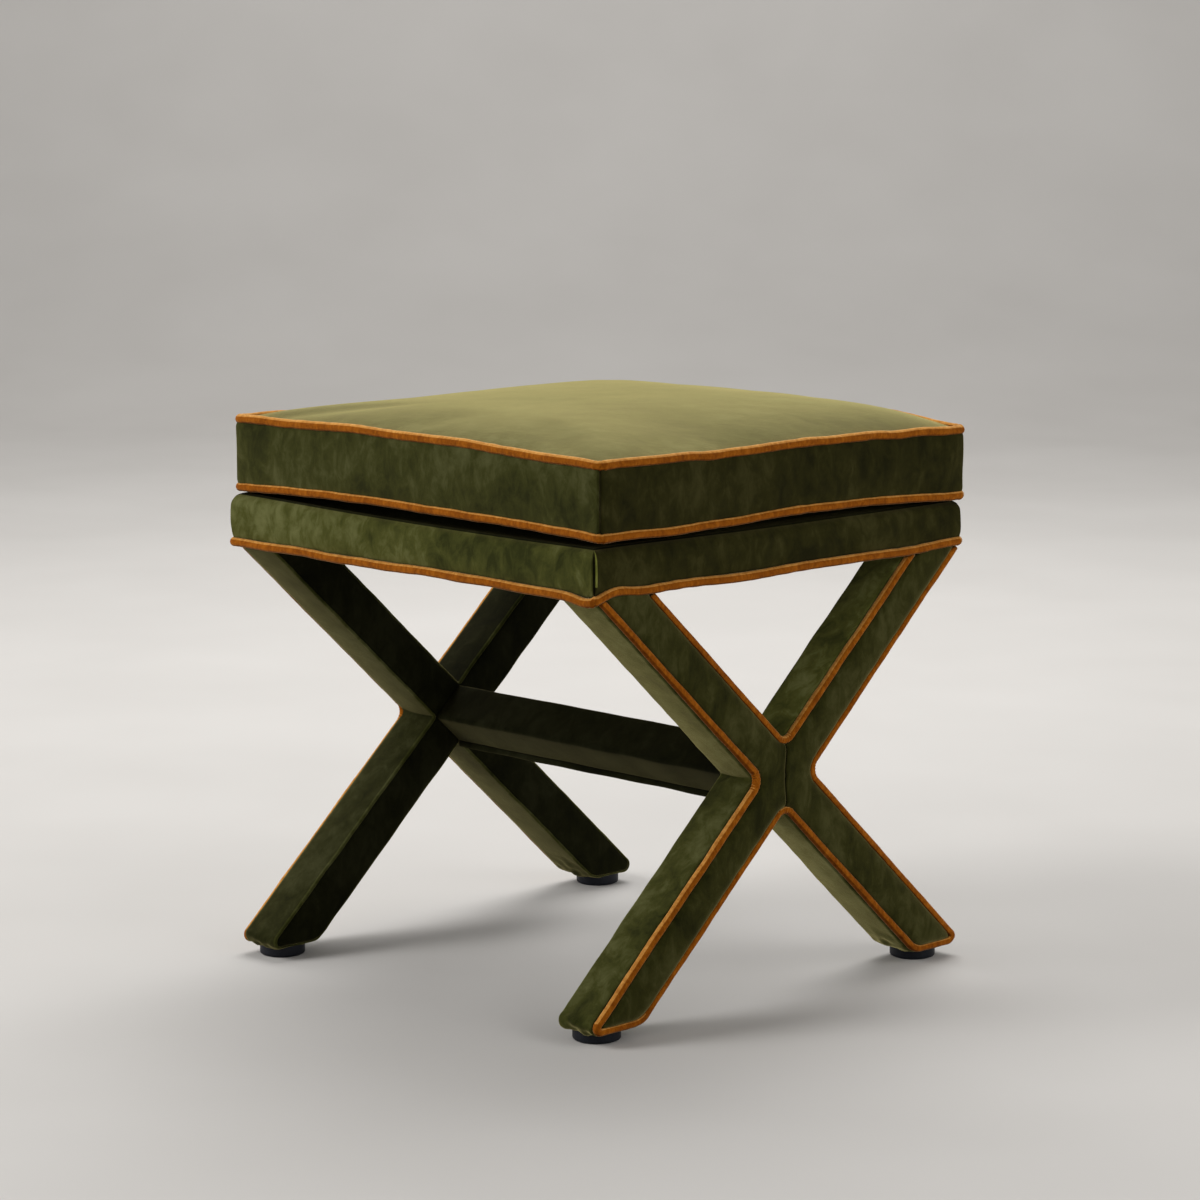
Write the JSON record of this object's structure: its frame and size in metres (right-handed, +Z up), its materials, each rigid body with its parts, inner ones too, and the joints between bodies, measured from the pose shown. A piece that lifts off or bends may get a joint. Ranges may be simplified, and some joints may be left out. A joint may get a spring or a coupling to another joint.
{
  "type": "upholstered x bench",
  "caption": "Square velvet-covered bench seat with a welted loose box cushion, on two crossed-leg frames joined by a stretcher.",
  "frame": {"origin": "on the floor under the middle of the seat", "axes": "+Z up; the crossed-leg frames stand at the +X and -X ends; the cushion's zip is on the +Y side"},
  "size_m": [0.457, 0.457, 0.4982],
  "materials": {
    "velvet_green": "matte",
    "velvet_rust": "matte",
    "beech": "matte",
    "plywood": "matte",
    "padding": "matte",
    "foam": "matte",
    "fibre": "matte",
    "cambric": "matte",
    "zinc_steel": "satin",
    "glide_plastic": "satin",
    "zip_fabric": "matte",
    "zip_nylon": "satin",
    "zip_metal": "satin"
  },
  "bodies": {
    "frame": {"apron_cover": "velvet_green", "stretcher_cover": "velvet_green", "outer_panel_front_right": "velvet_green", "outer_panel_back_right": "velvet_green", "inner_panel_right": "velvet_green", "side_band_right": "velvet_green", "crotch_band_right": "velvet_green", "outer_panel_front_left": "velvet_green", "outer_panel_back_left": "velvet_green", "inner_panel_left": "velvet_green", "side_band_left": "velvet_green", "crotch_band_left": "velvet_green", "apron_welt": "velvet_rust", "side_welt_right": "velvet_rust", "crotch_welt_right": "velvet_rust", "side_welt_left": "velvet_rust", "crotch_welt_left": "velvet_rust", "leg_right_front": "beech", "leg_right_back": "beech", "leg_left_front": "beech", "leg_left_back": "beech", "stretcher_core": "beech", "rail_right": "beech", "rail_left": "beech", "rail_front": "beech", "rail_back": "beech", "corner_blocks": "beech", "frame_dowels": "beech", "deck_panel": "plywood", "leg_padding_right": "padding", "leg_padding_left": "padding", "stretcher_padding": "padding", "seat_padding": "padding", "dust_cover": "cambric", "stretcher_bolts": "zinc_steel", "wood_screws": "zinc_steel", "dust_cover_staples": "zinc_steel", "leg_bolts": "zinc_steel", "leg_washers": "zinc_steel", "leg_insert_nuts": "zinc_steel", "glide_screws": "zinc_steel", "glide_right_front": "glide_plastic", "glide_right_back": "glide_plastic", "glide_left_front": "glide_plastic", "glide_left_back": "glide_plastic"},
    "cushion": {"cushion_foam": "foam", "cushion_fibre_wrap": "fibre", "cushion_top_panel": "velvet_green", "cushion_bottom_panel": "velvet_green", "boxing_front": "velvet_green", "boxing_right": "velvet_green", "boxing_left": "velvet_green", "boxing_back_upper": "velvet_green", "boxing_back_lower": "velvet_green", "cushion_top_welt": "velvet_rust", "cushion_bottom_welt": "velvet_rust", "zip_tapes": "zip_fabric", "zip_coil": "zip_nylon"},
    "zip_slider": {"zip_slider": "zip_metal"}
  },
  "joints": [
    {"name": "cushion_lift", "type": "slide", "parent": "frame", "child": "cushion", "axis": [0, 0, 1], "range_m": [0, 0.15]},
    {"name": "zip_slide", "type": "slide", "parent": "cushion", "child": "zip_slider", "axis": [1, 0, 0], "range_m": [0, 0.331]}
  ]
}
